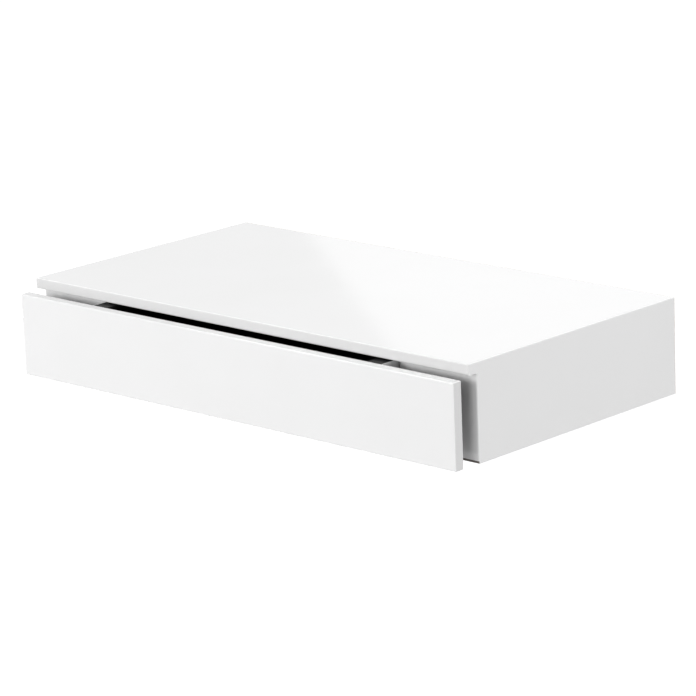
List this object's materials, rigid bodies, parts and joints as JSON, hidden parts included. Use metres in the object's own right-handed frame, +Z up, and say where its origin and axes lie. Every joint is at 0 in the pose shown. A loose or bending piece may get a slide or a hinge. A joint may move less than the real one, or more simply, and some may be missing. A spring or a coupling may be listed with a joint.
{
  "type": "wall shelf",
  "caption": "Floating wall shelf: shallow board casing with an overhanging top, a full-width handleless drawer on ball slides, and a hidden wall bracket with rods.",
  "frame": {"origin": "centre of the bracket's wall-screw holes, in the plane of the wall, half way up the casing", "axes": "+Z up, +Y into the wall, +X to the right of someone who faces the shelf; the drawer opens towards -Y"},
  "size_m": [0.48, 0.2675, 0.08],
  "materials": {
    "gloss_foil": "high-gloss white foil wrapped round fibreboard",
    "bare_board": "bare medium-density fibreboard",
    "solid_wood": "planed solid wood",
    "hardboard": "smooth dark hardboard",
    "drawer_foil": "matt black foil on fibreboard, with white outer faces on the sides",
    "black_steel": "black powder coat",
    "slide_steel": "zinc-plated cold-rolled sheet",
    "ball_steel": "polished bearing steel",
    "zinc_steel": "bright zinc plating",
    "insert_brass": "turned brass"
  },
  "bodies": {
    "casing": {"top_panel": "gloss_foil", "left_side_panel": "gloss_foil", "right_side_panel": "gloss_foil", "left_block_front": "gloss_foil", "right_block_front": "gloss_foil", "left_bay_wall": "bare_board", "right_bay_wall": "bare_board", "back_rail": "bare_board", "left_rod_block": "solid_wood", "right_rod_block": "solid_wood", "bottom_panel": "hardboard", "bottom_nails": "zinc_steel", "casing_dowels": "solid_wood", "wall_plate": "black_steel", "support_rods": "black_steel", "lock_inserts": "insert_brass", "lock_screws": "zinc_steel", "left_fixed_slide": "slide_steel", "right_fixed_slide": "slide_steel", "fixed_slide_screws": "zinc_steel"},
    "ball_cages": {"left_ball_cage": "slide_steel", "right_ball_cage": "slide_steel", "slide_balls": "ball_steel"},
    "drawer": {"left_moving_slide": "slide_steel", "right_moving_slide": "slide_steel", "moving_slide_screws": "zinc_steel", "drawer_front": "gloss_foil", "drawer_inner_front": "drawer_foil", "drawer_left_side": "drawer_foil", "drawer_right_side": "drawer_foil", "drawer_back": "drawer_foil", "drawer_bottom": "drawer_foil", "drawer_dowels": "solid_wood", "front_screws": "zinc_steel"}
  },
  "joints": [
    {"name": "drawer_slide", "type": "slide", "parent": "casing", "child": "drawer", "axis": [0, -1, 0], "range_m": [-0.0175, 0.1225]},
    {"name": "cage_slide", "type": "slide", "parent": "casing", "child": "ball_cages", "axis": [0, -1, 0], "range_m": [-0.00875, 0.06125]}
  ],
  "couplings": [
    {"joint": "cage_slide", "follows": "drawer_slide", "ratio": 0.5}
  ]
}
